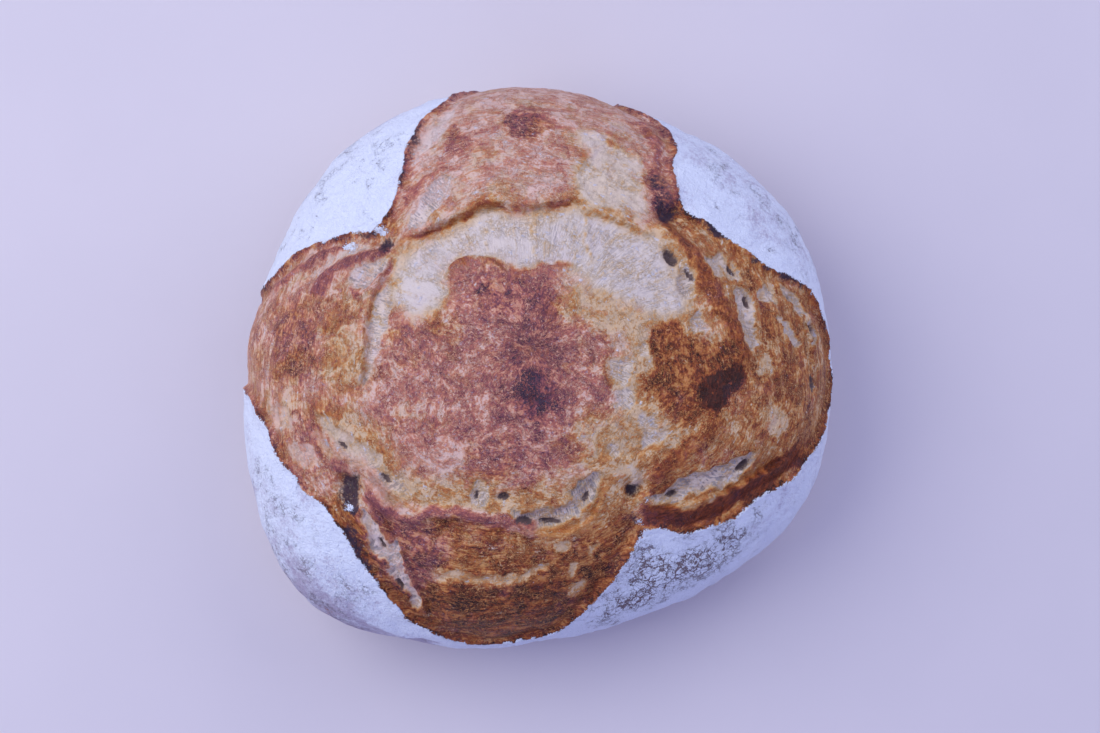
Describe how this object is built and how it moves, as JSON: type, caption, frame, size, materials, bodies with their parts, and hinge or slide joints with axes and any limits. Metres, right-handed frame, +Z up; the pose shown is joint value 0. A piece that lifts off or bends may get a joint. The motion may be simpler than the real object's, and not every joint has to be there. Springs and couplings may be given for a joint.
{
  "type": "sourdough loaf",
  "caption": "Round crusty sourdough loaf slashed with a cross, its floured skin split open over a bulging browned crumb, resting on a small flat base.",
  "frame": {"origin": "centre of the loaf's bounding box seen from above, at the height of the flat base it stands on", "axes": "+Z up from the base through the crown; +X along the longer way across the loaf; +Y the shorter way across"},
  "size_m": [0.188, 0.1788, 0.0831],
  "materials": {
    "crust": null
  },
  "bodies": {
    "root": {"loaf": "crust"}
  },
  "joints": []
}
